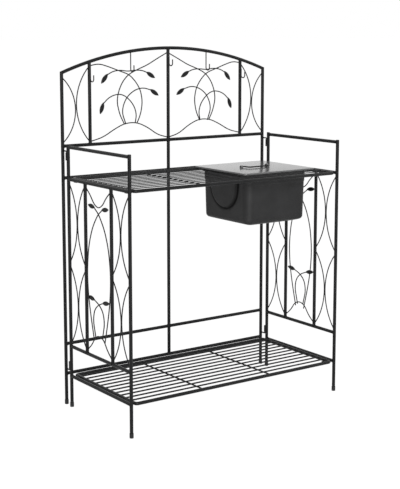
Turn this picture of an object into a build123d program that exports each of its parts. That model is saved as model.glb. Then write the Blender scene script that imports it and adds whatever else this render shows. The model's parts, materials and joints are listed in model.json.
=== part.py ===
# A folding garden potting bench: an arched back frame with scrollwork, two hinged side frames,
# two rod shelves that lift out, and a tub with a lid let into the top shelf. Millimetres, +Z up.
# The origin is on the ground under the middle of the bench, and -Y is the front.
import math
import os

from build123d import *

# Overall layout of the frames
frame_width = 888.0            # between the centre lines of the two side frames
side_depth = 400.0             # between the centre lines of a side frame's legs
hinge_gap = 39.0               # from a back stile's centre line to the rear leg's
arch_end_height = 1186.0       # where the arch meets the stiles
arch_rise = 82.5               # from the ends of the arch to its crown
mid_rail_height = 931.0        # foot of the scroll panel, and top of the side frames
top_shelf_height = 819.0
lower_rail_height = 222.0
lower_shelf_height = 113.0

# Tube and wire
tube_diameter = 12.0
tube_wall = 1.2
scroll_wire = 4.0
layer_gap = 0.1                # between wires that cross
weld_gap = 0.05                # between the arch and what is coped round it
leaf_length = 44.0
leaf_width = 15.0
leaf_thickness = 2.0
leaf_overlap = 6.0             # how far a leaf's root runs along its stem
bend_share = 0.48              # share of a short run that the arc at its end takes up
bow_foot = 9.0                 # from a rail's centre line to the end of a bowed wire
bow_drop = 15.0                # the same under the arch

# Back frame
inner_upright_spacing = 666.0  # between the two inner uprights

# Side frames
inner_bar_inset = 115.0        # from each leg's centre line to the inner bar beside it

# Caps
foot_cap_height = 16.0
foot_cap_wall = 1.0
foot_cap_floor = 2.0
plug_head = 2.0
plug_depth = 9.0

# Hinges
barrel_diameter = 9.0
barrel_length = 27.0
pin_diameter = 5.0
pin_clearance = 0.25
hinge_bend = 4.5
top_barrel_height = 884.0      # lower end of the upper barrels
low_barrel_height = 137.0      # lower end of the lower barrels

# Shelves
shelf_side_gap = 6.5           # between a shelf and the side frame's tube
shelf_corner_radius = 10.0
lower_rod = 5.6                # rods and cross wires of the lower shelf
top_rod = 3.8                  # the same of the top shelf
rod_gaps = 12
cross_wire_spacing = 296.0
seat_clearance = 0.3

# Shelf brackets
bracket_thickness = 3.0
bracket_width = 16.0
bracket_inset = 34.0           # from a leg's centre line to the bracket's middle

# Tub
tub_inset_x = 176.0            # from the shelf's right end rail to the tub's middle
tub_inset_y = 160.5            # from the shelf's rear rail to the tub's middle
tub_width = 282.0              # at the top, outside
tub_depth = 282.0
tub_base_height = 624.0        # the lowest point of the dished base
tub_wall = 2.5
tub_draft = 6.0                # how far each wall leans in from top to base
tub_corner = 34.0
tub_least_corner = 10.0        # where the dish of the base has taken the corners in
tub_dish = 18.0                # how far the base sinks from its edge to its middle
tub_dish_flat = 28.0           # side of the flat square in the middle of the base
tub_base_round = 14.0
tub_slices = 6                 # slices through the dish, and through its rounded edge
rim_band_height = 42.0
rim_band_proud = 1.6
rim_overhang = 12.0
rim_thickness = 2.5
pocket_proud = 6.0
pocket_width = 150.0
pocket_drop = 136.0
opening_clearance = 2.5

# Lid and its bail handle
lid_width = 325.0
lid_depth = 311.0
lid_edge = 6.0
lid_sheet = 1.5
lid_corner = 10.0
bail_wire = 5.0
bail_length = 120.0
bail_reach = 30.0
bail_bend = 8.0
bail_clearance = 0.3
lug_width = 9.0
lug_height = 9.0

# Tool hooks
hook_wire = 4.0
hook_reach = 22.0
hook_bend = 9.5
hook_tip = 23.0
post_hook_shank = 34.0
upright_hook_height = 1153.0
centre_hook_height = 1204.0
arch_hook_height = 1185.0

# Worked out from the sizes above
tube_radius = tube_diameter / 2
half_width = frame_width / 2
y_back = (side_depth + hinge_gap) / 2
y_front = -y_back
y_rear = y_front + side_depth
inner_x = inner_upright_spacing / 2
arch_radius = (half_width ** 2 + arch_rise ** 2) / (2 * arch_rise)
arch_crown = arch_end_height + arch_rise
arch_centre = Vector(0, y_back, arch_crown - arch_radius)
layer = scroll_wire + layer_gap
hinge_y = y_rear + tube_radius + barrel_diameter / 2
shelf_half = half_width - 2 * tube_radius - shelf_side_gap
tub_centre_x = shelf_half - tub_inset_x
tub_centre_y = y_rear - tub_inset_y

os.makedirs("parts", exist_ok=True)


def save(name, pieces):
    """Writes one node, a single piece or a group of separate pieces."""
    pieces = pieces if isinstance(pieces, list) else [pieces]
    solids = [solid for piece in pieces for solid in piece.solids()]
    export_step(solids[0] if len(solids) == 1 else Compound(children=solids), f"parts/{name}.step")


def rod(start, end, diameter):
    """A round bar between two points."""
    run = Vector(*end) - Vector(*start)
    return Solid.make_cylinder(diameter / 2, run.length, Plane(Vector(*start), z_dir=run))


def tube(start, end, cutters=()):
    """A hollow tube between two points, coped round the tubes that it meets."""
    piece = rod(start, end, tube_diameter) - rod(start, end, tube_diameter - 2 * tube_wall)
    for cutter in cutters:
        piece = piece - cutter
    return piece


def mirrored(pieces):
    return [mirror(piece, about=Plane.YZ) for piece in pieces]


def arch_z(x):
    """Height of the arch's centre line."""
    return arch_centre.Z + math.sqrt(arch_radius ** 2 - x ** 2)


def soft_path(points):
    """A smooth path: short runs joined by arcs as large as the runs allow."""
    corners = [Vector(*point) for point in points]
    radii = []
    for before, here, after in zip(corners, corners[1:], corners[2:]):
        turn = math.radians((here - before).get_angle(after - here))
        run = min((here - before).length, (after - here).length)
        radii.append(bend_share * run / math.tan(turn / 2))
    return FilletPolyline(*corners, radius=radii)


def swept(path, diameter):
    """A wire along a path."""
    return sweep(Plane(path @ 0, z_dir=path % 0) * Circle(diameter / 2), path=path)


def leaf(base, tip):
    """A flat pointed leaf in the panel's plane."""
    along = (Vector(*tip) - Vector(*base)).normalized()
    base = Vector(*base) - along * leaf_overlap
    across = Vector(-along.Y, along.X)
    middle = base + along * (leaf_length / 2)
    end = base + along * leaf_length
    upper = ThreePointArc(base, middle + across * (leaf_width / 2), end)
    lower = ThreePointArc(end, middle - across * (leaf_width / 2), base)
    return extrude(make_face([upper, lower]), amount=leaf_thickness / 2, both=True)


def scroll(points, depth, size, leaf_tips=(None, None)):
    """A scroll wire in a panel, from points given as shares of the bay's width and height.

    depth is the layer that it lies in. A leaf grows from an end that has a tip.
    """
    placed = [(u * size[0], v * size[1]) for u, v in points]
    piece = swept(soft_path(placed), scroll_wire)
    for end, tip in zip((placed[0], placed[-1]), leaf_tips):
        if tip:
            piece = piece + leaf(end, (tip[0] * size[0], tip[1] * size[1]))
    return Pos(0, 0, depth * layer) * piece


def flipped(points):
    """The same wire mirrored across its bay."""
    return [(1 - u, v) for u, v in points]


def bow(foot, head, sag):
    """A wire that bows from its bar to the middle of the bay, between two points of that bar."""
    middle = ((foot[0] + head[0]) / 2 + sag, (foot[1] + head[1]) / 2)
    return swept(ThreePointArc(foot, middle, head), scroll_wire)


# Back frame: stiles and arch, which meet in mitres
corner = Vector(half_width, y_back, arch_end_height)
arch_lean = math.asin(half_width / arch_radius)
arch_spare = 2 * tube_diameter / arch_radius
mitre = Plane(corner, z_dir=(-math.cos(arch_lean), 0, 1 + math.sin(arch_lean)))
other_corner = Vector(-half_width, y_back, arch_end_height)
other_mitre = Plane(other_corner, z_dir=(math.cos(arch_lean), 0, 1 + math.sin(arch_lean)))


def on_arch(angle):
    """The point of the arch's centre line at an angle from its crown."""
    return arch_centre + Vector(arch_radius * math.sin(angle), 0, arch_radius * math.cos(angle))


def arch_sweep(section):
    reach = arch_lean + arch_spare
    arch_line = ThreePointArc(on_arch(-reach), on_arch(0), on_arch(reach))
    whole = sweep(Plane(arch_line @ 0, z_dir=arch_line % 0) * section, path=arch_line)
    return split(split(whole, bisect_by=mitre, keep=Keep.TOP), bisect_by=other_mitre, keep=Keep.TOP)


stile_foot = (half_width, y_back, foot_cap_floor)
stile_head = (half_width, y_back, arch_end_height + 2 * tube_diameter)
stile_right = split(tube(stile_foot, stile_head), bisect_by=mitre, keep=Keep.BOTTOM)
stile_bar = rod(stile_foot, stile_head, tube_diameter)
stile_bars = [stile_bar] + mirrored([stile_bar])
arch_bar = arch_sweep(Circle(tube_radius + weld_gap))
save("back_stile_right", stile_right)
save("back_stile_left", mirrored([stile_right]))
save("back_arch", arch_sweep(Circle(tube_radius) - Circle(tube_radius - tube_wall)))

# Back frame: posts and cross rails


def rail_ends(height):
    """Both ends of a rail of the back frame, on the stiles' centre lines."""
    return (-half_width, y_back, height), (half_width, y_back, height)


bottom_rail_bar = rod(*rail_ends(lower_shelf_height), tube_diameter)
post_foot = (0, y_back, lower_shelf_height)
post_head = (0, y_back, arch_crown)
post_bar = rod(post_foot, post_head, tube_diameter)
mid_rail_bar = rod(*rail_ends(mid_rail_height), tube_diameter)
upright_foot = (-inner_x, y_back, mid_rail_height)
upright_head = (-inner_x, y_back, arch_z(inner_x))
upright_left = tube(upright_foot, upright_head, [mid_rail_bar, arch_bar])
upright_bar = rod(upright_foot, upright_head, tube_diameter)
save("back_centre_post", tube(post_foot, post_head, [bottom_rail_bar, arch_bar]))
save("back_inner_upright_left", upright_left)
save("back_inner_upright_right", mirrored([upright_left]))
save("back_bottom_rail", tube(*rail_ends(lower_shelf_height), stile_bars))
split_rails = {"mid": mid_rail_height, "shelf": top_shelf_height, "lower": lower_rail_height}
for name, height in split_rails.items():
    left_half = tube((-half_width, y_back, height), (0, y_back, height), stile_bars + [post_bar])
    save(f"back_{name}_rails", [left_half] + mirrored([left_half]))

# Back scrollwork of the centre bays, drawn for the left bay. Wires that cross lie in layers.
back_bay = Plane((-inner_x, y_back, mid_rail_height), x_dir=(1, 0, 0), z_dir=(0, -1, 0))
back_size = (inner_x, arch_end_height - mid_rail_height)
back_bars = [upright_bar, post_bar, arch_bar]
long_outer = [(0, 1.09), (0.11, 1.115), (0.22, 1.075), (0.34, 1.02), (0.49, 0.955), (0.575, 0.845),
              (0.63, 0.73), (0.655, 0.565), (0.63, 0.39), (0.58, 0.26)]
long_inner = [(1, 1.26), (0.86, 1.17), (0.73, 1.08), (0.61, 1.025), (0.49, 0.955), (0.41, 0.845),
              (0.36, 0.70), (0.345, 0.565), (0.38, 0.39), (0.435, 0.26)]
crown_stem = [(0.215, 0.955), (0.29, 1.005), (0.38, 1.02), (0.48, 1.0), (0.57, 1.015), (0.66, 1.01),
              (0.73, 0.975)]
low_outer = [(0.165, 0.555), (0.225, 0.63), (0.295, 0.672), (0.37, 0.685), (0.435, 0.66), (0.505, 0.59),
             (0.56, 0.495), (0.585, 0.38), (0.565, 0.26)]
low_inner = [(0.785, 0.725), (0.68, 0.765), (0.57, 0.735), (0.475, 0.645), (0.425, 0.53), (0.41, 0.415),
             (0.455, 0.255)]
mound = [(0, 0.04), (0.16, 0.09), (0.295, 0.19), (0.42, 0.262), (0.53, 0.277), (0.62, 0.258), (0.735, 0.19),
         (0.86, 0.08), (1, 0.035)]
mound_wire = scroll(mound, 0, back_size)
back_wires = [
    scroll(long_outer, 1, back_size),
    scroll(long_inner, -1, back_size),
    scroll(crown_stem, 0, back_size, ((0.12, 0.80), (0.86, 0.87))),
    scroll(low_outer, 0, back_size, ((0.12, 0.39), None)) - mound_wire,
    scroll(low_inner, -1, back_size, ((0.915, 0.615), None)),
    mound_wire,
]


def coped(panel, wires, bars):
    """Wires set into their panel and trimmed where they meet its bars."""
    trimmed = []
    for wire in wires:
        piece = panel * wire
        for bar in bars:
            piece = piece - bar
        trimmed.append(max(piece.solids(), key=lambda solid: solid.volume))
    return trimmed


scroll_left = coped(back_bay, back_wires, back_bars)
save("back_scroll_left", scroll_left)
save("back_scroll_right", mirrored(scroll_left))

# Back outer bays: two wires that bow towards each other between the stile and the inner upright
outer_width = half_width - inner_x
outer_bay = Plane((-half_width, y_back, mid_rail_height), x_dir=(1, 0, 0), z_dir=(0, -1, 0))
outer_sag = outer_width / 2 - layer / 2
stile_wire = bow((0, bow_foot), (0, back_size[1] - bow_drop), outer_sag)
upright_top = arch_z(inner_x) - mid_rail_height - bow_drop
upright_wire = bow((outer_width, bow_foot), (outer_width, upright_top), -outer_sag)
outer_left = coped(outer_bay, [stile_wire, upright_wire], stile_bars + [upright_bar, arch_bar])
save("back_outer_wires", outer_left + mirrored(outer_left))

# Tool hooks: wire with its shank on the front of a post or of the arch
hook_y = y_back - tube_radius - hook_wire / 2


def hook(x, base, shank_top):
    front = hook_y - hook_reach
    corners = (x, hook_y, shank_top), (x, hook_y, base), (x, front, base), (x, front, base + hook_tip)
    return swept(FilletPolyline(*corners, radius=hook_bend), hook_wire)


upright_hook = hook(-inner_x, upright_hook_height, upright_hook_height + post_hook_shank)
centre_hook = hook(0, centre_hook_height, centre_hook_height + post_hook_shank)
arch_hook = hook(-inner_x / 2, arch_hook_height, arch_z(inner_x / 2))
save("post_hooks", [upright_hook, centre_hook] + mirrored([upright_hook]))
save("arch_hooks", [arch_hook] + mirrored([arch_hook]))

# Hinge pintles on the stiles: the upper pins point down and the lower pins point up
upper_arm = top_barrel_height + barrel_length + hinge_bend + seat_clearance
lower_arm = low_barrel_height - hinge_bend - seat_clearance
pin_run = hinge_bend + seat_clearance + barrel_length


def pintle(arm_height, pin_end):
    line = FilletPolyline((-half_width, y_back, arm_height), (-half_width, hinge_y, arm_height),
                          (-half_width, hinge_y, pin_end), radius=hinge_bend)
    return swept(line, pin_diameter) - stile_bars[1]


pintles = [pintle(upper_arm, upper_arm - pin_run), pintle(lower_arm, lower_arm + pin_run)]
save("hinge_pintles", pintles + mirrored(pintles))


# Foot caps and plugs
def foot_cap(x, y):
    outside = rod((x, y, 0), (x, y, foot_cap_height), tube_diameter + 2 * foot_cap_wall)
    return fillet(outside.edges().group_by(Axis.Z)[0], foot_cap_wall) - rod(
        (x, y, foot_cap_floor), (x, y, foot_cap_height), tube_diameter)


def top_plug(x, y, height):
    head = rod((x, y, height), (x, y, height + plug_head), tube_diameter)
    head = fillet(head.edges().group_by(Axis.Z)[-1], plug_head / 2)
    return head + rod((x, y, height - plug_depth), (x, y, height), tube_diameter - 2 * tube_wall)


save("back_foot_caps", [foot_cap(-half_width, y_back), foot_cap(half_width, y_back)])

# Side frames, drawn for the left and mirrored for the right
leg_top = mid_rail_height + tube_radius
bar_y = [y_rear - inner_bar_inset, y_front + inner_bar_inset]
rail_heights = {
    "top": mid_rail_height,
    "shelf": top_shelf_height,
    "lower": lower_rail_height,
    "bottom": lower_shelf_height,
}


def upright_ends(y, low, high):
    """Both ends of an upright of the left side frame."""
    return (-half_width, y, low), (-half_width, y, high)


def side_rail_ends(height):
    """Both ends of a rail of the left side frame, on its legs' centre lines."""
    return (-half_width, y_rear, height), (-half_width, y_front, height)


rear_leg_ends = upright_ends(y_rear, foot_cap_floor, leg_top)
front_leg_ends = upright_ends(y_front, foot_cap_floor, leg_top)
inner_bar_ends = [upright_ends(y, lower_rail_height, top_shelf_height) for y in bar_y]
leg_bars = [rod(*ends, tube_diameter) for ends in (rear_leg_ends, front_leg_ends)]
inner_bars = [rod(*ends, tube_diameter) for ends in inner_bar_ends]
bar_rails = [rod(*side_rail_ends(lower_rail_height), tube_diameter),
             rod(*side_rail_ends(top_shelf_height), tube_diameter)]
side = {
    "rear_leg": [tube(*rear_leg_ends)],
    "front_leg": [tube(*front_leg_ends)],
    "inner_bars": [tube(*ends, bar_rails) for ends in inner_bar_ends],
    "foot_caps": [foot_cap(-half_width, y) for y in (y_rear, y_front)],
    "top_plugs": [top_plug(-half_width, y, leg_top) for y in (y_rear, y_front)],
}
for name, height in rail_heights.items():
    side[f"{name}_rail"] = [tube(*side_rail_ends(height), leg_bars)]

# Side scrollwork: the centre bay between the inner bars
side_height = top_shelf_height - lower_rail_height
side_bay = Plane((-half_width, bar_y[0], lower_rail_height), x_dir=(0, -1, 0), z_dir=(-1, 0, 0))
side_size = (bar_y[0] - bar_y[1], side_height)
side_mound = [(0, 0.02), (0.2, 0.065), (0.33, 0.117), (0.5, 0.134), (0.67, 0.117), (0.8, 0.065),
              (1, 0.02)]
swag = [(0, 0.98), (0.2, 0.935), (0.33, 0.89), (0.5, 0.868), (0.67, 0.89), (0.8, 0.935), (1, 0.98)]
tall_stem = [(0.335, 0.098), (0.215, 0.225), (0.115, 0.36), (0.085, 0.50), (0.155, 0.645), (0.31, 0.755),
             (0.53, 0.835), (0.71, 0.868)]
short_stem = [(0.6, 0.112), (0.7, 0.215), (0.65, 0.278), (0.5, 0.315), (0.295, 0.336)]
tall_tip = (0.96, 0.877)
short_tip = (0.06, 0.346)
side_wires = [
    scroll(swag, 0, side_size),
    scroll(side_mound, 0, side_size),
    scroll(tall_stem, 1, side_size, (None, tall_tip)),
    scroll(flipped(tall_stem), -1, side_size, (None, (1 - tall_tip[0], tall_tip[1]))),
    scroll(short_stem, 0, side_size, (None, short_tip)) - scroll(side_mound, 0, side_size),
    scroll(flipped(short_stem), 1, side_size, (None, (1 - short_tip[0], short_tip[1]))),
]
side["scroll"] = coped(side_bay, side_wires, inner_bars)

# Side outer bays: two pairs of bowed wires, one above the other, between a leg and its inner bar
bay_sag = inner_bar_inset / 2 - layer / 2
bay_middle = side_height / 2
bow_gap = layer / 2
bow_spans = [(bow_foot, bay_middle - bow_gap), (bay_middle + bow_gap, side_height - bow_foot)]
side["outer_wires"] = []
for bay_y in (y_rear, bar_y[1]):
    bay = Plane((-half_width, bay_y, lower_rail_height), x_dir=(0, -1, 0), z_dir=(-1, 0, 0))
    bows = []
    for low, high in bow_spans:
        bows.append(bow((0, low), (0, high), bay_sag))
        bows.append(bow((inner_bar_inset, low), (inner_bar_inset, high), -bay_sag))
    side["outer_wires"] += coped(bay, bows, leg_bars + inner_bars)

# Hinge barrels behind the rear leg, one at each pintle
bore = pin_diameter + 2 * pin_clearance
side["hinge_barrels"] = []
for low in (top_barrel_height, low_barrel_height):
    ends = (-half_width, hinge_y, low), (-half_width, hinge_y, low + barrel_length)
    side["hinge_barrels"].append(rod(*ends, barrel_diameter) - rod(*ends, bore))

# Shelf brackets: angles on the inner face of the rails, with a ledge under the shelf's end rail
bracket_x = -half_width + tube_radius
ledge = 2 * tube_radius + shelf_side_gap
side["shelf_brackets"] = []
for shelf_z in (top_shelf_height, lower_shelf_height):
    seat = shelf_z - tube_radius - seat_clearance
    for y in (y_rear - bracket_inset, y_front + bracket_inset):
        middle = (bracket_x, y, seat)
        low_corner = Align.MIN, Align.CENTER, Align.MAX
        plate = Pos(*middle) * Box(ledge, bracket_width, bracket_thickness, align=low_corner)
        upstand = Pos(*middle) * Box(bracket_thickness, bracket_width, tube_diameter,
                                     align=(Align.MIN, Align.CENTER, Align.MIN))
        side["shelf_brackets"].append(plate + upstand)

for name, pieces in side.items():
    save(f"left_{name}", pieces)
    save(f"right_{name}", mirrored(pieces))

# Shelves: a tube frame with rounded corners, rods along it and cross wires under the rods
shelf_middle = (y_rear + y_front) / 2
rod_pitch = side_depth / rod_gaps
rod_y = [y_front + rod_pitch * count for count in range(1, rod_gaps)]


def shelf_frame(height, section):
    outline = RectangleRounded(2 * shelf_half, side_depth, shelf_corner_radius)
    line = (Pos(0, shelf_middle, height) * outline).wire()
    return sweep(Plane(line @ 0, z_dir=line % 0) * section, path=line)


def shelf_wire(start, end, diameter, frame_bar):
    wire = rod(start, end, diameter) - frame_bar
    return max(wire.solids(), key=lambda solid: solid.volume)


def long_rod(left, right, y, height, diameter, frame_bar):
    """A rod along the shelf, with its top level with the top of the frame."""
    level = height + tube_radius - diameter / 2
    return shelf_wire((left, y, level), (right, y, level), diameter, frame_bar)


def cross_wire(x, height, diameter, frame_bar):
    """A wire across the shelf, under its rods."""
    level = height + tube_radius - 1.5 * diameter
    return shelf_wire((x, y_rear, level), (x, y_front, level), diameter, frame_bar)


lower_bar = shelf_frame(lower_shelf_height, Circle(tube_radius))
frame_section = Circle(tube_radius) - Circle(tube_radius - tube_wall)
lower_rods = [long_rod(-shelf_half, shelf_half, y, lower_shelf_height, lower_rod, lower_bar) for y in rod_y]
cross_x = cross_wire_spacing / 2
save("lower_shelf_frame", shelf_frame(lower_shelf_height, frame_section))
save("lower_shelf_rods", lower_rods)
save("lower_shelf_cross_wires", [cross_wire(x, lower_shelf_height, lower_rod, lower_bar)
                                 for x in (-cross_x, cross_x)])

# Top shelf: the rods stop at cross bars on both sides of the tub's opening
opening_half_x = tub_width / 2 + pocket_proud + opening_clearance
opening_half_y = tub_depth / 2 + rim_band_proud + opening_clearance
bar_left = tub_centre_x - opening_half_x - top_rod / 2
bar_right = tub_centre_x + opening_half_x + top_rod / 2
edge_front = tub_centre_y - opening_half_y - top_rod / 2
edge_rear = tub_centre_y + opening_half_y + top_rod / 2
top_bar = shelf_frame(top_shelf_height, Circle(tube_radius))
top_rods = []
for y in rod_y:
    spans = [(-shelf_half, shelf_half)]
    if edge_front - top_rod < y < edge_rear + top_rod:
        spans = [(-shelf_half, bar_left + top_rod / 2), (bar_right - top_rod / 2, shelf_half)]
    for left, right in spans:
        top_rods.append(long_rod(left, right, y, top_shelf_height, top_rod, top_bar))
opening_bars = [cross_wire(x, top_shelf_height, top_rod, top_bar) for x in (bar_left, bar_right)]
edge_level = top_shelf_height + tube_radius - top_rod / 2
opening_edges = []
for y in (edge_front, edge_rear):
    edge_ends = (bar_left - top_rod / 2, y, edge_level), (bar_right + top_rod / 2, y, edge_level)
    opening_edges.append(rod(*edge_ends, top_rod))
save("top_shelf_frame", shelf_frame(top_shelf_height, frame_section))
save("top_shelf_rods", top_rods)
save("top_shelf_cross_wires", [cross_wire(-cross_x, top_shelf_height, top_rod, top_bar)])
save("top_shelf_opening_bars", opening_bars)
save("top_shelf_opening_edges", opening_edges)

# Tub: a moulded bin that hangs in the opening by its rim
rim_seat = top_shelf_height + tube_radius + seat_clearance
tub_top = rim_seat + rim_thickness


def tub_slice(height, grow):
    """The tub's rounded square at a height, grown on every side."""
    grown = grow - tub_draft * (tub_top - height) / (tub_top - tub_base_height)
    return Pos(tub_centre_x, tub_centre_y, height) * RectangleRounded(
        tub_width + 2 * grown, tub_depth + 2 * grown, max(tub_corner + grown, tub_least_corner))


def tub_form(grow, low):
    """The tub's leaning form: a dished base, its rounded edge and the walls up to the top."""
    base_round = tub_base_round + grow
    dish_run = (tub_width - tub_dish_flat) / 2 - tub_draft
    start = math.atan(2 * tub_dish / dish_run)
    edge_inset = base_round * (1 - math.sin(start))
    slices = []
    for step in range(tub_slices):
        share = step / tub_slices
        inset = dish_run - share * (dish_run - edge_inset)
        slices.append(tub_slice(low + tub_dish * share ** 2, grow - inset))
    for step in range(tub_slices + 1):
        swing = start + (math.pi / 2 - start) * step / tub_slices
        height = low + tub_dish + base_round * (math.cos(start) - math.cos(swing))
        slices.append(tub_slice(height, grow - base_round * (1 - math.sin(swing))))
    return loft(slices + [tub_slice(tub_top, grow)], ruled=True)


def tub_collar(grow, low):
    """A thicker stretch of the wall, from a height up to the rim."""
    return loft([tub_slice(low, grow), tub_slice(rim_seat, grow)])


outside = tub_form(0, tub_base_height)
inside = tub_form(-tub_wall, tub_base_height + tub_wall)
band = tub_collar(rim_band_proud, rim_seat - rim_band_height)
pocket_low = tub_top - pocket_drop
pocket_plane = Plane((tub_centre_x, tub_centre_y, pocket_low), x_dir=(0, 1, 0), z_dir=(1, 0, 0))
pocket_face = Circle(pocket_width / 2) + Pos(0, pocket_drop / 2) * Rectangle(pocket_width, pocket_drop)
pocket_shape = pocket_plane * Pos(0, pocket_width / 2) * pocket_face
pockets = tub_collar(pocket_proud, pocket_low) & extrude(pocket_shape, amount=tub_width, both=True)
rim_face = RectangleRounded(tub_width + 2 * rim_overhang, tub_depth + 2 * rim_overhang,
                            tub_corner + rim_overhang)
rim = extrude(Pos(tub_centre_x, tub_centre_y, rim_seat) * rim_face, amount=rim_thickness)
save("tub", outside + band + pockets + rim - inside)

# Lid: a sheet with its edge turned down, two lugs and a bail handle
lid_under = rim_seat
lid_top = lid_under + lid_edge


def lid_form(inset, height):
    """The lid's rounded square taken in on every side, up to a height above its lower edge."""
    outline = RectangleRounded(lid_width - 2 * inset, lid_depth - 2 * inset, lid_corner - inset)
    return extrude(Pos(tub_centre_x, tub_centre_y, lid_under) * outline, amount=height)


lid_block = lid_form(0, lid_edge)
lid_block = fillet(lid_block.edges().group_by(Axis.Z)[-1], lid_sheet)
save("lid", lid_block - lid_form(lid_sheet, lid_edge - lid_sheet))

bail_axis = lid_top + lug_height / 2
bail_half = bail_length / 2
lug_x = [tub_centre_x - bail_half, tub_centre_x + bail_half]
lugs = []
for x in lug_x:
    standing = Align.CENTER, Align.CENTER, Align.MIN
    block = Pos(x, tub_centre_y, lid_top) * Box(lug_width, lug_height, lug_height, align=standing)
    block = fillet(block.edges().filter_by(Axis.X).group_by(Axis.Z)[-1], lug_height / 2 - bail_clearance)
    bore_ends = (x - lug_width, tub_centre_y, bail_axis), (x + lug_width, tub_centre_y, bail_axis)
    lugs.append(block - rod(*bore_ends, bail_wire + 2 * bail_clearance))
save("lid_lugs", lugs)
stub_end = lug_width / 2
leg_in = bail_half - lug_width / 2 - bail_clearance - bail_bend
bail_front = tub_centre_y - bail_reach
bail_corners = [
    (lug_x[0] - stub_end, tub_centre_y, bail_axis),
    (tub_centre_x - leg_in, tub_centre_y, bail_axis),
    (tub_centre_x - leg_in, bail_front, bail_axis),
    (tub_centre_x + leg_in, bail_front, bail_axis),
    (tub_centre_x + leg_in, tub_centre_y, bail_axis),
    (lug_x[1] + stub_end, tub_centre_y, bail_axis),
]
save("bail_handle", swept(FilletPolyline(*bail_corners, radius=bail_bend), bail_wire))
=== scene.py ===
import json
import math

import bmesh
import bpy
from mathutils import Euler, Matrix, Vector


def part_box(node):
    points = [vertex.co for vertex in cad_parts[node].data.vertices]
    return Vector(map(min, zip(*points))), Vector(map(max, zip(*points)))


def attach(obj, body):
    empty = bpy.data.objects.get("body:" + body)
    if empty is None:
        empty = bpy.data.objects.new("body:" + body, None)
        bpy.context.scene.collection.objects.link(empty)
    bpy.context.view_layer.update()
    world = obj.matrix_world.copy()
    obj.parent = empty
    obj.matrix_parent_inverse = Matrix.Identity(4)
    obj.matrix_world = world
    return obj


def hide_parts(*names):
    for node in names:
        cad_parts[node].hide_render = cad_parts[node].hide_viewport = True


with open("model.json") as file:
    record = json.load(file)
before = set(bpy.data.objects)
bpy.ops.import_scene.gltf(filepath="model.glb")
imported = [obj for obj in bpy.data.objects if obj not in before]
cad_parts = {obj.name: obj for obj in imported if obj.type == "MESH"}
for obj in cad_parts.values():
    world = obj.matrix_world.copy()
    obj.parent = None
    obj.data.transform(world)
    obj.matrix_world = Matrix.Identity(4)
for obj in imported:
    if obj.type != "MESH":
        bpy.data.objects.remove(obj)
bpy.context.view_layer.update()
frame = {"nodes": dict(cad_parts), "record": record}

bodies = frame["record"]["behaviour"]["bodies"]
body_of_node = {node: body for body, group in bodies.items() for node in group}
slot_of_node = {entry["node"]: entry["material_slot"] for entry in frame["record"]["subparts"]}


# Back frame: round steel tube, bent and mitred, then powder coated in one charcoal colour.
# The coat is semi-gloss with a faint orange peel, a little uneven in tone along the tubes.
def powder_coat(name, dark, light, smooth, rough, peel, shine):
    """A baked coat or a moulded skin: cloudy tone, uneven gloss and a fine orange peel."""
    material = bpy.data.materials.new(name)
    material.use_nodes = True
    tree = material.node_tree
    shader = tree.nodes["Principled BSDF"]
    shader.inputs["Specular IOR Level"].default_value = shine
    place = tree.nodes.new("ShaderNodeTexCoord").outputs["Object"]

    def noise(scale, detail):
        node = tree.nodes.new("ShaderNodeTexNoise")
        node.inputs["Scale"].default_value = scale
        node.inputs["Detail"].default_value = detail
        tree.links.new(place, node.inputs["Vector"])
        return node.outputs["Fac"]

    dark_until = 0.35
    light_from = 0.68
    peel_height = 0.0003
    tone = tree.nodes.new("ShaderNodeValToRGB")
    tone.color_ramp.elements[0].position = dark_until
    tone.color_ramp.elements[1].position = light_from
    tone.color_ramp.elements[0].color = (*dark, 1)
    tone.color_ramp.elements[1].color = (*light, 1)
    tree.links.new(noise(scale=22, detail=5), tone.inputs["Fac"])
    tree.links.new(tone.outputs["Color"], shader.inputs["Base Color"])
    gloss = tree.nodes.new("ShaderNodeMapRange")
    gloss.inputs["To Min"].default_value = smooth
    gloss.inputs["To Max"].default_value = rough
    tree.links.new(noise(scale=75, detail=3), gloss.inputs["Value"])
    tree.links.new(gloss.outputs["Result"], shader.inputs["Roughness"])
    skin_bump = tree.nodes.new("ShaderNodeBump")
    skin_bump.inputs["Strength"].default_value = peel
    skin_bump.inputs["Distance"].default_value = peel_height
    tree.links.new(noise(scale=950, detail=2), skin_bump.inputs["Height"])
    tree.links.new(skin_bump.outputs["Normal"], shader.inputs["Normal"])
    return material


def show(mesh, name, body, slot, material, *nodes):
    """Puts a finished mesh in the scene, on its body, in place of the nodes that it stands for."""
    mesh.materials.clear()
    mesh.materials.append(material)
    piece = bpy.data.objects.new(name, mesh)
    bpy.context.scene.collection.objects.link(piece)
    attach(piece, body)
    if nodes:
        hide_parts(*nodes)
    return piece


def skin(node, material):
    """The node's own shape, welded into one smooth surface with crisp edges."""
    same_point = 2e-6
    crisp_angle = 38
    welded = bmesh.new()
    welded.from_mesh(frame["nodes"][node].data)
    bmesh.ops.remove_doubles(welded, verts=welded.verts, dist=same_point)
    for face in welded.faces:
        face.smooth = True
    mesh = bpy.data.meshes.new(node + "_skin")
    welded.to_mesh(mesh)
    welded.free()
    mesh.set_sharp_from_angle(angle=math.radians(crisp_angle))
    return show(mesh, node + "_skin", body_of_node[node], slot_of_node[node], material, node)


charcoal_dark = (0.005, 0.0051, 0.0053)
charcoal_light = (0.0085, 0.0086, 0.009)
charcoal = powder_coat("charcoal_coat", charcoal_dark, charcoal_light,
                       smooth=0.27, rough=0.38, peel=0.2, shine=0.13)
back_tubes = [
    "back_stile_left", "back_stile_right", "back_arch", "back_centre_post",
    "back_inner_upright_left", "back_inner_upright_right",
    "back_mid_rails", "back_shelf_rails", "back_lower_rails", "back_bottom_rail",
]
for node in back_tubes:
    skin(node, charcoal)


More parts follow.
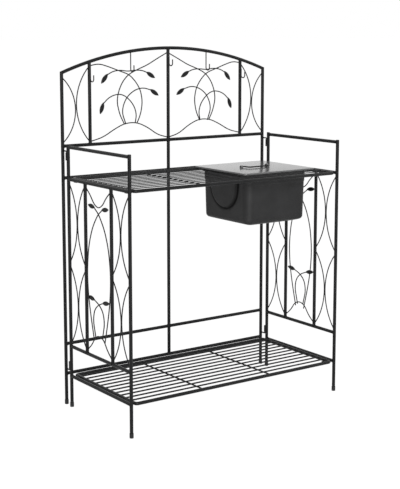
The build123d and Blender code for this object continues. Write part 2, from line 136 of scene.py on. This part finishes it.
# Weld beads: the tubes are joined by a narrow bead run round each coped end before coating.
# Each bead follows the saddle where one tube meets the side of another.
def middle(node):
    """The middle of the node's box."""
    low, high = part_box(node)
    return (low + high) / 2


def weld_bead(radius, thickness, around, section):
    """A lumpy ring round a tube along X, set on the side of an equal tube along Z."""
    coarse_waves = 9
    coarse_ripple = 0.16
    fine_waves = 23
    fine_ripple = 0.07
    seat_out = 0.2 * thickness
    seat_along = 0.1 * thickness
    bead = bmesh.new()
    rings = []
    for step in range(around):
        turn = 2 * math.pi * step / around
        ripple = coarse_ripple * math.sin(coarse_waves * turn)
        lump = 1 + ripple + fine_ripple * math.sin(fine_waves * turn)
        out = Vector((0, math.cos(turn), math.sin(turn)))
        saddle = radius * abs(math.sin(turn)) + seat_along
        seat = out * (radius + seat_out) + Vector((saddle, 0, 0))
        ring = []
        for count in range(section):
            swing = 2 * math.pi * count / section
            around_seat = out * math.cos(swing) + Vector((math.sin(swing), 0, 0))
            ring.append(bead.verts.new(seat + thickness * lump * around_seat))
        rings.append(ring)
    for here, after in zip(rings, rings[1:] + rings[:1]):
        for count in range(section):
            bead.faces.new((here[count], here[count - 1], after[count - 1], after[count]))
    bmesh.ops.recalc_face_normals(bead, faces=bead.faces)
    for face in bead.faces:
        face.smooth = True
    mesh = bpy.data.meshes.new("bead_shape")
    bead.to_mesh(mesh)
    bead.free()
    return mesh


def facing(along, axis):
    """The turn that lays X along one way and Z along another."""
    along = Vector(along).normalized()
    axis = Vector(axis).normalized()
    sideways = axis.cross(along)
    return Matrix((along, sideways, axis)).transposed().to_euler()


def scatter_tree(material):
    """Node tree: a copy of one shape on every point, turned by the point's own angle."""
    tree = bpy.data.node_groups.new("place_copies", "GeometryNodeTree")
    tree.interface.new_socket("Points", in_out="INPUT", socket_type="NodeSocketGeometry")
    tree.interface.new_socket("Shape", in_out="INPUT", socket_type="NodeSocketObject")
    tree.interface.new_socket("Size", in_out="INPUT", socket_type="NodeSocketFloat")
    tree.interface.new_socket("Copies", in_out="OUTPUT", socket_type="NodeSocketGeometry")
    start = tree.nodes.new("NodeGroupInput")
    end = tree.nodes.new("NodeGroupOutput")
    shape = tree.nodes.new("GeometryNodeObjectInfo")
    turn = tree.nodes.new("GeometryNodeInputNamedAttribute")
    turn.data_type = "FLOAT_VECTOR"
    turn.inputs["Name"].default_value = "turn"
    angle = tree.nodes.new("FunctionNodeEulerToRotation")
    copies = tree.nodes.new("GeometryNodeInstanceOnPoints")
    real = tree.nodes.new("GeometryNodeRealizeInstances")
    coat = tree.nodes.new("GeometryNodeSetMaterial")
    coat.inputs["Material"].default_value = material
    links = tree.links
    links.new(start.outputs["Points"], copies.inputs["Points"])
    links.new(start.outputs["Shape"], shape.inputs["Object"])
    links.new(shape.outputs["Geometry"], copies.inputs["Instance"])
    links.new(turn.outputs["Attribute"], angle.inputs["Euler"])
    links.new(angle.outputs["Rotation"], copies.inputs["Rotation"])
    links.new(start.outputs["Size"], copies.inputs["Scale"])
    links.new(copies.outputs["Instances"], real.inputs["Geometry"])
    links.new(real.outputs["Geometry"], coat.inputs["Geometry"])
    links.new(coat.outputs["Geometry"], end.inputs["Copies"])
    return tree


def copies_on(name, places, shape_mesh, material, body, slot):
    """One plain mesh of copies: places are points, each with its turn."""
    mesh = bpy.data.meshes.new(name + "_points")
    mesh.from_pydata([point for point, turn in places], [], [])
    turns = mesh.attributes.new("turn", "FLOAT_VECTOR", "POINT")
    for index, (point, turn) in enumerate(places):
        turns.data[index].vector = turn
    shape = bpy.data.objects.new(name + "_shape", shape_mesh)
    points = bpy.data.objects.new(name + "_points", mesh)
    for helper in (shape, points):
        bpy.context.scene.collection.objects.link(helper)
    tree = scatter_tree(material)
    modifier = points.modifiers.new("copies", "NODES")
    modifier.node_group = tree
    entries = [item for item in tree.interface.items_tree if item.in_out == "INPUT"]
    sockets = {item.name: item.identifier for item in entries}
    modifier[sockets["Shape"]] = shape
    modifier[sockets["Size"]] = 1.0
    grown = points.evaluated_get(bpy.context.evaluated_depsgraph_get())
    whole = bpy.data.meshes.new_from_object(grown)
    points.modifiers.clear()
    for helper in (shape, points):
        bpy.data.objects.remove(helper)
    whole.name = name
    return show(whole, name, body, slot, material)


tube_radius = (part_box("left_front_leg")[1].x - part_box("left_front_leg")[0].x) / 2
stile_x = middle("back_stile_right").x
upright_x = middle("back_inner_upright_right").x
back_y = middle("back_stile_right").y
arch_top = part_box("back_arch")[1].z - tube_radius
rail_z = {level: middle(f"back_{level}_rails").z for level in ("mid", "shelf", "lower")}
rail_z["bottom"] = middle("back_bottom_rail").z
across = Vector((1, 0, 0))
upward = Vector((0, 0, 1))
toward_back = Vector((0, 1, 0))
bead_thickness = 0.0011
bead_mesh = weld_bead(tube_radius, bead_thickness, around=44, section=8)
back_welds = []
for level, height in rail_z.items():
    back_welds.append(((-stile_x, back_y, height), facing(across, upward)))
    back_welds.append(((stile_x, back_y, height), facing(-across, upward)))
    if level != "bottom":
        back_welds.append(((0, back_y, height), facing(across, upward)))
        back_welds.append(((0, back_y, height), facing(-across, upward)))
back_welds.append(((0, back_y, rail_z["bottom"]), facing(upward, across)))
back_welds.append(((0, back_y, arch_top), facing(-upward, across)))
for x in (-upright_x, upright_x):
    back_welds.append(((x, back_y, rail_z["mid"]), facing(upward, across)))
copies_on("back_weld_beads", back_welds, bead_mesh.copy(), charcoal, "back_frame", "frame")

# Scroll panels: round wire bent into stems and bows, laid over each other and spot welded,
# with small leaves pressed from sheet. They take the same coat as the tubes.
back_wires = ["back_scroll_left", "back_scroll_right", "back_outer_wires"]
for node in back_wires + ["post_hooks", "arch_hooks", "hinge_pintles"]:
    skin(node, charcoal)


def leaf_shape(length, width, edge, swell):
    """A pressed leaf along X: pointed, domed on both faces, with a midrib and side veins."""
    steps = 30
    ribs = 6
    veins = 7
    vein_slant = 1.6
    vein_share = 0.16
    midrib_share = 0.45
    midrib_width = 0.13
    tip_rise = 6
    tip_blunt = 0.0002
    edge_angle = 50
    leaf = bmesh.new()
    half = width / 2
    arc = (length * length / 4 + half * half) / (2 * half)
    faces = {1: [], -1: []}
    for side in faces:
        for step in range(steps + 1):
            x = length * step / steps
            bow = math.sqrt(max(arc * arc - (x - length / 2) ** 2, 0))
            reach = bow - (arc - half) + tip_blunt
            row = []
            for rib in range(-ribs, ribs + 1):
                part = rib / ribs
                dome = swell * (1 - part * part) * min(1.0, tip_rise * reach / half)
                beside = abs(part)
                wave = math.cos(2 * math.pi * (veins * x / length - vein_slant * beside))
                vein = vein_share * swell * wave * beside * (1 - beside)
                groove = midrib_share * swell * math.exp(-((part / midrib_width) ** 2))
                height = edge + dome + vein - groove
                row.append(leaf.verts.new((x, part * reach, side * height)))
            faces[side].append(row)
    for side, rows in faces.items():
        for here, after in zip(rows, rows[1:]):
            for count in range(2 * ribs):
                corners = (here[count], after[count], after[count + 1], here[count + 1])
                leaf.faces.new(corners if side > 0 else corners[::-1])
    top = faces[1]
    under = faces[-1]
    for count in range(steps):
        for rib in (0, -1):
            leaf.faces.new((top[count][rib], under[count][rib],
                            under[count + 1][rib], top[count + 1][rib]))
    for step in (0, -1):
        for count in range(2 * ribs):
            leaf.faces.new((top[step][count], top[step][count + 1],
                            under[step][count + 1], under[step][count]))
    bmesh.ops.recalc_face_normals(leaf, faces=leaf.faces)
    for face in leaf.faces:
        face.smooth = True
    mesh = bpy.data.meshes.new("leaf_shape")
    leaf.to_mesh(mesh)
    leaf.free()
    mesh.set_sharp_from_angle(angle=math.radians(edge_angle))
    return mesh


leaf_length = 0.044
leaf_width = 0.015
leaf_root = 0.006
leaf_mesh = leaf_shape(leaf_length, leaf_width, edge=0.00112, swell=0.0011)
layer = 0.0041
arch_end_height = 1.186


def leaf_place(origin, right, front, size, base, tip, depth):
    """Where a leaf lies in a panel, from the share of the bay at its base and at its tip."""
    def point(share):
        in_panel = right * (share[0] * size[0]) + upward * (share[1] * size[1])
        return origin + in_panel + front * (depth * layer)
    along = (point(tip) - point(base)).normalized()
    return point(base) - along * leaf_root, facing(along, front)


# Each leaf has its base and tip as shares of the bay's width and height, then its layer.
back_leaves = [
    ((0.215, 0.955), (0.12, 0.80), 0),
    ((0.73, 0.975), (0.86, 0.87), 0),
    ((0.165, 0.555), (0.12, 0.39), 0),
    ((0.785, 0.725), (0.915, 0.615), -1),
]
bay_size = (upright_x, arch_end_height - rail_z["mid"])
leaf_places = []
for hand in (1, -1):
    corner = Vector((-hand * upright_x, back_y, rail_z["mid"]))
    for base, tip, depth in back_leaves:
        leaf_places.append(leaf_place(corner, across * hand, -toward_back, bay_size, base, tip, depth))
copies_on("back_leaves", leaf_places, leaf_mesh.copy(), charcoal, "back_frame", "frame")

# Foot caps and plugs: soft black plastic pushed over the tube ends and into the leg tops.
# The moulding has a fine matte grain and is about as dark as the coat.
cap_dark = (0.006, 0.006, 0.0063)
cap_light = (0.009, 0.009, 0.0094)
cap_plastic = powder_coat("cap_plastic", cap_dark, cap_light, smooth=0.5, rough=0.65, peel=0.5, shine=0.3)
cap_nodes = ["back_foot_caps", "left_foot_caps", "right_foot_caps", "left_top_plugs", "right_top_plugs"]
for node in cap_nodes:
    skin(node, cap_plastic)

# Side frames: two welded tube frames that hang on the pintles of the back frame by short barrels.
# Each has a scroll panel between its inner bars, bowed wires beside it, and angles for the shelves.
side_leaves = [
    ((0.71, 0.868), (0.96, 0.877), 1),
    ((0.29, 0.868), (0.04, 0.877), -1),
    ((0.295, 0.336), (0.06, 0.346), 0),
    ((0.705, 0.336), (0.94, 0.346), 1),
]
side_parts = [
    "rear_leg", "front_leg", "top_rail", "shelf_rail", "lower_rail", "bottom_rail",
    "inner_bars", "outer_wires", "scroll", "hinge_barrels", "shelf_brackets",
]
for hand, side in ((-1, "left"), (1, "right")):
    for part in side_parts:
        skin(f"{side}_{part}", charcoal)
    side_x = middle(f"{side}_front_leg").x
    front_y = middle(f"{side}_front_leg").y
    rear_y = middle(f"{side}_rear_leg").y
    panel_foot = middle(f"{side}_lower_rail").z
    panel_head = middle(f"{side}_shelf_rail").z
    bar_low, bar_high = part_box(f"{side}_inner_bars")
    bar_ys = (bar_low.y + tube_radius, bar_high.y - tube_radius)
    welds = []
    for rail in ("top", "shelf", "lower", "bottom"):
        height = middle(f"{side}_{rail}_rail").z
        welds.append(((side_x, front_y, height), facing(toward_back, upward)))
        welds.append(((side_x, rear_y, height), facing(-toward_back, upward)))
    for bar_y in bar_ys:
        welds.append(((side_x, bar_y, panel_foot), facing(upward, toward_back)))
        welds.append(((side_x, bar_y, panel_head), facing(-upward, toward_back)))
    copies_on(f"{side}_weld_beads", welds, bead_mesh.copy(), charcoal, f"{side}_side", "frame")
    panel_corner = Vector((side_x, bar_ys[1], panel_foot))
    panel_size = (bar_ys[1] - bar_ys[0], panel_head - panel_foot)
    places = [leaf_place(panel_corner, -toward_back, across * hand, panel_size, base, tip, depth)
              for base, tip, depth in side_leaves]
    copies_on(f"{side}_leaves", places, leaf_mesh.copy(), charcoal, f"{side}_side", "frame")

# Shelves: a bent tube frame with straight rods welded across its ends, and cross wires under them.
# A small squashed spot shows where each rod end is resistance welded to the frame.
shelf_nodes = [
    "lower_shelf_frame", "lower_shelf_rods", "lower_shelf_cross_wires",
    "top_shelf_frame", "top_shelf_rods", "top_shelf_cross_wires",
    "top_shelf_opening_bars", "top_shelf_opening_edges",
]
for node in shelf_nodes:
    skin(node, charcoal)


def weld_spot(radius, flatness):
    """A squashed, slightly uneven blob of weld metal."""
    unevenness = 0.08
    wave_x = 2900
    wave_y = 2300
    wave_start = 1.3
    spot = bmesh.new()
    bmesh.ops.create_icosphere(spot, subdivisions=3, radius=radius)
    for vert in spot.verts:
        wave = unevenness * math.sin(wave_x * vert.co.x + wave_start) * math.cos(wave_y * vert.co.y)
        swell = 1 + wave
        vert.co = Vector((vert.co.x * flatness, vert.co.y * swell, vert.co.z * swell))
    for face in spot.faces:
        face.smooth = True
    mesh = bpy.data.meshes.new("spot_shape")
    spot.to_mesh(mesh)
    spot.free()
    return mesh


spot_radius = 0.0031
spot_mesh = weld_spot(spot_radius, flatness=0.8)
spot_sink = 0.0012
spot_rise = 0.8
rod_count = 11
for shelf in ("lower", "top"):
    rod_low, rod_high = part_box(f"{shelf}_shelf_rods")
    rod_radius = (rod_high.z - rod_low.z) / 2
    rail_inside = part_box(f"{shelf}_shelf_frame")[1].x - 2 * tube_radius + spot_sink
    pitch = (rod_high.y - rod_low.y - 2 * rod_radius) / (rod_count - 1)
    spots = []
    for count in range(rod_count):
        rod_y = rod_low.y + rod_radius + pitch * count
        for x in (-rail_inside, rail_inside):
            spots.append(((x, rod_y, rod_low.z + spot_rise * rod_radius), (0, 0, 0)))
    copies_on(f"{shelf}_shelf_weld_spots", spots, spot_mesh.copy(), charcoal, f"{shelf}_shelf", "frame")

# Tub: a moulded black plastic bin that hangs in the shelf's opening by its rim. It has drafted walls,
# a dished base, a shallow band under the rim, and on each end wall a raised hand pocket with a groove
# round it. The skin is matte, with painted shade in the groove.
tub_dark = (0.0095, 0.0095, 0.0098)
tub_light = (0.0135, 0.0135, 0.0138)
tub_shine = 0.2
tub_plastic = powder_coat("tub_plastic", tub_dark, tub_light,
                          smooth=0.4, rough=0.52, peel=0.6, shine=tub_shine)
tub_low, tub_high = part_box("tub")
tub_middle = (tub_low + tub_high) / 2
tub_wall = 0.0025
tub_draft = 0.006
tub_corner = 0.034
least_corner = 0.01
tub_dish = 0.018
dish_flat = 0.028
base_round = 0.014
rim_overhang = 0.012
rim_thickness = 0.0025
rim_ledge = 0.006
lip_round = 0.001
band_height = 0.042
band_proud = 0.0016
band_edge = 0.0015
pocket_proud = 0.006
pocket_edge_outside = 0.002
pocket_edge_inside = 0.003
pocket_width = 0.15
pocket_drop = 0.136
pocket_flare = 0.03
flare_fade = 0.022
end_wall_facing = 0.9
groove_depth = 0.0018
groove_width = 0.006
groove_offset = 0.004
groove_reach = 0.05
# Painted shade: the groove round each hand pocket is coloured near black and made less shiny, for the
# shade that falls in it.
groove_painted_shade = (0.002, 0.002, 0.002, 1)
groove_shade_shine = 0.03
crease_angle = 50
flat_steps = 76
corner_steps = 14
wall_steps = 64
rim_steps = 8
inner_steps = 20
tub_half = (tub_high.x - tub_low.x) / 2 - rim_overhang
tub_height = tub_high.z - tub_low.z


def smooth_step(low, high, value):
    """A soft step from 0 to 1 between two values."""
    share = min(max((value - low) / (high - low), 0), 1)
    return share * share * (3 - 2 * share)


def tub_outline(grow):
    """Points round the tub's rounded square, with their outward ways."""
    half = tub_half + grow
    corner = max(tub_corner + grow, least_corner)
    flat = half - corner
    outline = []
    for quarter in range(4):
        turn = quarter * math.pi / 2
        for step in range(flat_steps):
            share = -1 + 2 * step / flat_steps
            outline.append((half, flat * share, turn, 0))
        for step in range(corner_steps):
            swing = math.pi / 2 * step / corner_steps
            x = flat + corner * math.cos(swing)
            y = flat + corner * math.sin(swing)
            outline.append((x, y, turn, swing))
    points = []
    for x, y, turn, swing in outline:
        way = Vector((math.cos(turn + swing), math.sin(turn + swing)))
        turned_x = x * math.cos(turn) - y * math.sin(turn)
        turned_y = x * math.sin(turn) + y * math.cos(turn)
        points.append((Vector((turned_x, turned_y)), way))
    return points


def lean(rise):
    """How far the drafted wall stands in at a height."""
    return -tub_draft * (1 - rise / tub_height)


def band_step(rise):
    """How far the wall stands out under the rim."""
    start = tub_height - rim_thickness - band_height
    return band_proud * smooth_step(start - band_edge, start + band_edge, rise)


def pocket_step(spot, way, rise):
    """How far the hand pocket stands out of an end wall here, and how deep its groove is."""
    if abs(way.x) < end_wall_facing:
        return 0.0, 0.0
    centre = tub_height - pocket_drop + pocket_width / 2
    reach = abs(spot.y) - pocket_flare * math.exp((rise - tub_height) / flare_fade)
    distance = reach if rise > centre else math.hypot(reach, centre - rise)
    inside = pocket_width / 2 - distance
    hollow = math.exp(-(((inside + groove_offset) / groove_width) ** 2))
    proud = pocket_proud * smooth_step(-pocket_edge_outside, pocket_edge_inside, inside)
    return proud - groove_depth * hollow, hollow


def dish_rows(wall, steps):
    """Rows of the dished base and its rounded edge, from the middle outward, for a wall offset."""
    edge = base_round - wall
    run = tub_half - dish_flat / 2 - tub_draft
    start = math.atan(2 * tub_dish / run)
    edge_inset = edge * (1 - math.sin(start))
    rows = []
    for step in range(steps):
        share = step / steps
        rise = wall + tub_dish * share ** 2
        rows.append((lean(rise) - wall - run + share * (run - edge_inset), rise, False))
    for step in range(steps + 1):
        swing = start + (math.pi / 2 - start) * step / steps
        rise = wall + tub_dish + edge * (math.cos(start) - math.cos(swing))
        rows.append((lean(rise) - wall - edge * (1 - math.sin(swing)), rise, False))
    return rows


def paint_groove_shade(material):
    """Paints shade into the groove: the skin is made darker and less shiny where the mesh's hollow
    attribute marks the groove.
    """
    tree = material.node_tree
    shader = tree.nodes["Principled BSDF"]
    unshaded_tone = shader.inputs["Base Color"].links[0].from_socket
    mask = tree.nodes.new("ShaderNodeAttribute")
    mask.attribute_name = "hollow"
    tone = tree.nodes.new("ShaderNodeMix")
    tone.data_type = "RGBA"
    tone.inputs["B"].default_value = groove_painted_shade
    shine = tree.nodes.new("ShaderNodeMapRange")
    shine.inputs["To Min"].default_value = tub_shine
    shine.inputs["To Max"].default_value = groove_shade_shine
    tree.links.new(mask.outputs["Fac"], tone.inputs["Factor"])
    tree.links.new(unshaded_tone, tone.inputs["A"])
    tree.links.new(tone.outputs["Result"], shader.inputs["Base Color"])
    tree.links.new(mask.outputs["Fac"], shine.inputs["Value"])
    tree.links.new(shine.outputs["Result"], shader.inputs["Specular IOR Level"])


outer_rows = dish_rows(0, steps=12)
wall_foot = outer_rows[-1][1]
under_rim = tub_height - rim_thickness
for step in range(1, wall_steps + 1):
    rise = wall_foot + (under_rim - wall_foot) * step / wall_steps
    outer_rows.append((lean(rise), rise, True))
rim_edge = rim_thickness / 2
rim_rows = [(lean(under_rim) + band_proud + rim_ledge, under_rim, False)]
for step in range(rim_steps + 1):
    swing = math.pi * step / rim_steps
    reach = rim_overhang - rim_edge + rim_edge * math.sin(swing)
    rim_rows.append((reach, under_rim + rim_edge - rim_edge * math.cos(swing), False))
inner_rows = [(lip_round - tub_wall, tub_height, False), (-tub_wall, tub_height - lip_round, False)]
inner_dish = dish_rows(tub_wall, steps=8)
inner_foot = inner_dish[-1][1]
for step in range(1, inner_steps):
    rise = tub_height - (tub_height - inner_foot) * step / inner_steps
    inner_rows.append((lean(rise) - tub_wall, rise, False))
inner_rows += inner_dish[::-1]
tub = bmesh.new()
rings = []
hollows = []
for grow, rise, moulded in outer_rows + rim_rows + inner_rows:
    ring = []
    for spot, way in tub_outline(grow):
        proud, hollow = pocket_step(spot, way, rise) if moulded else (0.0, 0.0)
        if moulded and hollow < groove_reach:
            proud = max(band_step(rise), proud)
        hollows.append(hollow)
        place = spot + way * proud
        in_frame = (tub_middle.x + place.x, tub_middle.y + place.y, tub_low.z + rise)
        ring.append(tub.verts.new(in_frame))
    rings.append(ring)
for here, after in zip(rings, rings[1:]):
    for count in range(len(here)):
        tub.faces.new((here[count - 1], here[count], after[count], after[count - 1]))
tub.faces.new(rings[0])
tub.faces.new(rings[-1])
bmesh.ops.recalc_face_normals(tub, faces=tub.faces)
for face in tub.faces:
    face.smooth = True
tub_mesh = bpy.data.meshes.new("tub_moulding")
tub.to_mesh(tub_mesh)
tub.free()
tub_mesh.set_sharp_from_angle(angle=math.radians(crease_angle))
tub_mesh.attributes.new("hollow", "FLOAT", "POINT").data.foreach_set("value", hollows)
# Paints the groove's shade into the tub plastic.
paint_groove_shade(tub_plastic)
show(tub_mesh, "tub_moulding", "tub", "tub", tub_plastic, "tub")

# Lid: one sheet with its edge turned down, coated smoother and lighter than the frame, with two
# pressed lugs and a wire bail that lies flat on it.
lid_dark = (0.075, 0.0755, 0.0765)
lid_light = (0.09, 0.0905, 0.0915)
lid_coat = powder_coat("lid_coat", lid_dark, lid_light, smooth=0.15, rough=0.19, peel=0.04, shine=0.7)
for node in ("lid", "lid_lugs"):
    skin(node, lid_coat)
skin("bail_handle", charcoal)

# Studio: a pale floor, a white surround and soft lamps. The surround shows white to the camera
# and in reflections, and gives less light than that to the object. The floor glows for the camera
# alone, so it shows nearly white with faint shadows.
floor_size = 400
floor_colour = (0.92, 0.92, 0.92, 1)
floor_brightness = 1.05
glow_share = 0.92
bpy.ops.mesh.primitive_plane_add(size=floor_size)
floor = bpy.context.object
floor.name = "studio_floor"
floor_paint = bpy.data.materials.new("floor_paint")
floor_paint.use_nodes = True
floor_tree = floor_paint.node_tree
floor_shader = floor_tree.nodes["Principled BSDF"]
floor_shader.inputs["Base Color"].default_value = floor_colour
floor_shader.inputs["Roughness"].default_value = 0.9
floor_shader.inputs["Specular IOR Level"].default_value = 0.0
floor_glow = floor_tree.nodes.new("ShaderNodeEmission")
floor_glow.inputs["Strength"].default_value = floor_brightness
seen = floor_tree.nodes.new("ShaderNodeLightPath")
seen_share = floor_tree.nodes.new("ShaderNodeMath")
seen_share.operation = "MULTIPLY"
seen_share.inputs[1].default_value = glow_share
floor_mix = floor_tree.nodes.new("ShaderNodeMixShader")
floor_tree.links.new(seen.outputs["Is Camera Ray"], seen_share.inputs[0])
floor_tree.links.new(seen_share.outputs["Value"], floor_mix.inputs["Fac"])
floor_tree.links.new(floor_shader.outputs["BSDF"], floor_mix.inputs[1])
floor_tree.links.new(floor_glow.outputs["Emission"], floor_mix.inputs[2])
floor_surface = floor_tree.nodes["Material Output"].inputs["Surface"]
floor_tree.links.new(floor_mix.outputs["Shader"], floor_surface)
floor.data.materials.append(floor_paint)

surround_light = 0.6
surround_seen = 1.0
world = bpy.data.worlds.new("studio")
bpy.context.scene.world = world
world.use_nodes = True
sky = world.node_tree
rays = sky.nodes.new("ShaderNodeLightPath")
either = sky.nodes.new("ShaderNodeMath")
either.operation = "MAXIMUM"
bright = sky.nodes.new("ShaderNodeMath")
bright.operation = "MAXIMUM"
sky.links.new(rays.outputs["Is Camera Ray"], either.inputs[0])
sky.links.new(rays.outputs["Is Glossy Ray"], either.inputs[1])
sky.links.new(either.outputs["Value"], bright.inputs[0])
sky.links.new(rays.outputs["Is Transmission Ray"], bright.inputs[1])
strength = sky.nodes.new("ShaderNodeMapRange")
strength.inputs["To Min"].default_value = surround_light
strength.inputs["To Max"].default_value = surround_seen
sky.links.new(bright.outputs["Value"], strength.inputs["Value"])
sky.links.new(strength.outputs["Result"], sky.nodes["Background"].inputs["Strength"])
sky.nodes["Background"].inputs["Color"].default_value = (1, 1, 1, 1)


def softbox(name, place, aim, size, power):
    """A square soft lamp, turned towards a point."""
    lamp = bpy.data.lights.new(name, "AREA")
    lamp.size = size
    lamp.energy = power
    stand = bpy.data.objects.new(name, lamp)
    stand.location = place
    stand.rotation_euler = (Vector(aim) - Vector(place)).to_track_quat("-Z", "Y").to_euler()
    bpy.context.scene.collection.objects.link(stand)


lamp_aim = (0, 0, 0.6)
softbox("key_softbox", place=(-2.2, -4.2, 2.4), aim=lamp_aim, size=1.2, power=260)
softbox("fill_softbox", place=(3.2, -1.8, 2.2), aim=lamp_aim, size=2.4, power=35)

# Camera: at the photograph's viewing angle, a long lens from the left front, a little above the bench.
# The shift sets the bench where it stands in the picture.
lens_place = Vector((-2.3867, -3.3404, 1.322))
lens_turn = 35.351
lens_dip = 7.987
camera_data = bpy.data.cameras.new("camera")
camera_data.lens = 85.25
camera_data.shift_x = 0.0026
camera_data.shift_y = -0.1
camera = bpy.data.objects.new("camera", camera_data)
camera.location = lens_place
camera.rotation_euler = Euler((math.radians(90 - lens_dip), 0, math.radians(-lens_turn)))
bpy.context.scene.collection.objects.link(camera)
bpy.context.scene.camera = camera
bpy.context.scene.view_settings.view_transform = "Standard"
